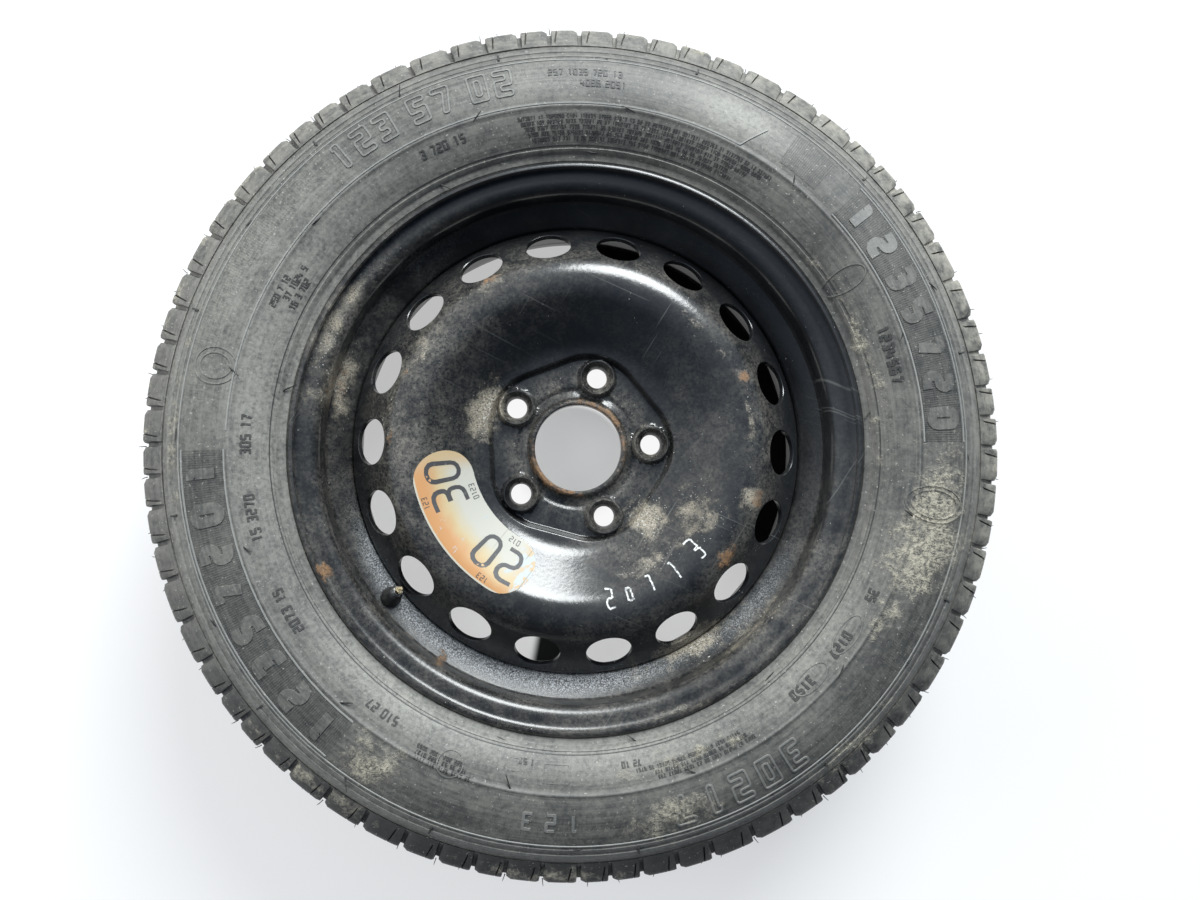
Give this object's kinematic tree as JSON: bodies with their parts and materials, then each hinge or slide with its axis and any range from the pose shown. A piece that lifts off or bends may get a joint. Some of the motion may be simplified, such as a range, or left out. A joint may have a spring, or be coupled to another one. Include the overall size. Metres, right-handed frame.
{
  "type": "spare wheel",
  "caption": "Pressed steel road wheel with a ring of round vents, a mounted tubeless tyre, a snap-in valve and an arched label.",
  "frame": {"origin": "centre of the hub mounting face, on the wheel's axis", "axes": "+Z along the wheel's axis, out of the street side; the first wheel bolt hole is 2.9 degrees from +X"},
  "size_m": [0.6345, 0.6344, 0.2014],
  "materials": {
    "tyre_rubber": "dusty matt",
    "black_paint": "gloss, scratched and dusty",
    "label_film": "printed film, orange fading to cream",
    "valve_rubber": "matt",
    "valve_brass": "dull nickel and brass",
    "seal_plastic": "smooth",
    "spring_steel": "drawn wire"
  },
  "bodies": {
    "wheel": {"tyre": "tyre_rubber", "rim": "black_paint", "disc": "black_paint", "weld_seams": "black_paint", "disc_label": "label_film", "valve_body": "valve_rubber", "valve_stem": "valve_brass", "core_plug": "valve_brass", "core_barrel": "valve_brass", "barrel_seal": "seal_plastic", "core_spring": "spring_steel"},
    "valve_pin": {"core_pin": "valve_brass", "core_cup": "valve_brass", "cup_seal": "valve_rubber"}
  },
  "joints": [
    {"name": "valve_pin_slide", "type": "slide", "parent": "wheel", "child": "valve_pin", "axis": [-0.4587, -0.3675, -0.809], "range_m": [0, 0.0013], "stiffness_N_per_m": 300, "springref_m": -0.002, "deforming": ["core_spring"]}
  ]
}
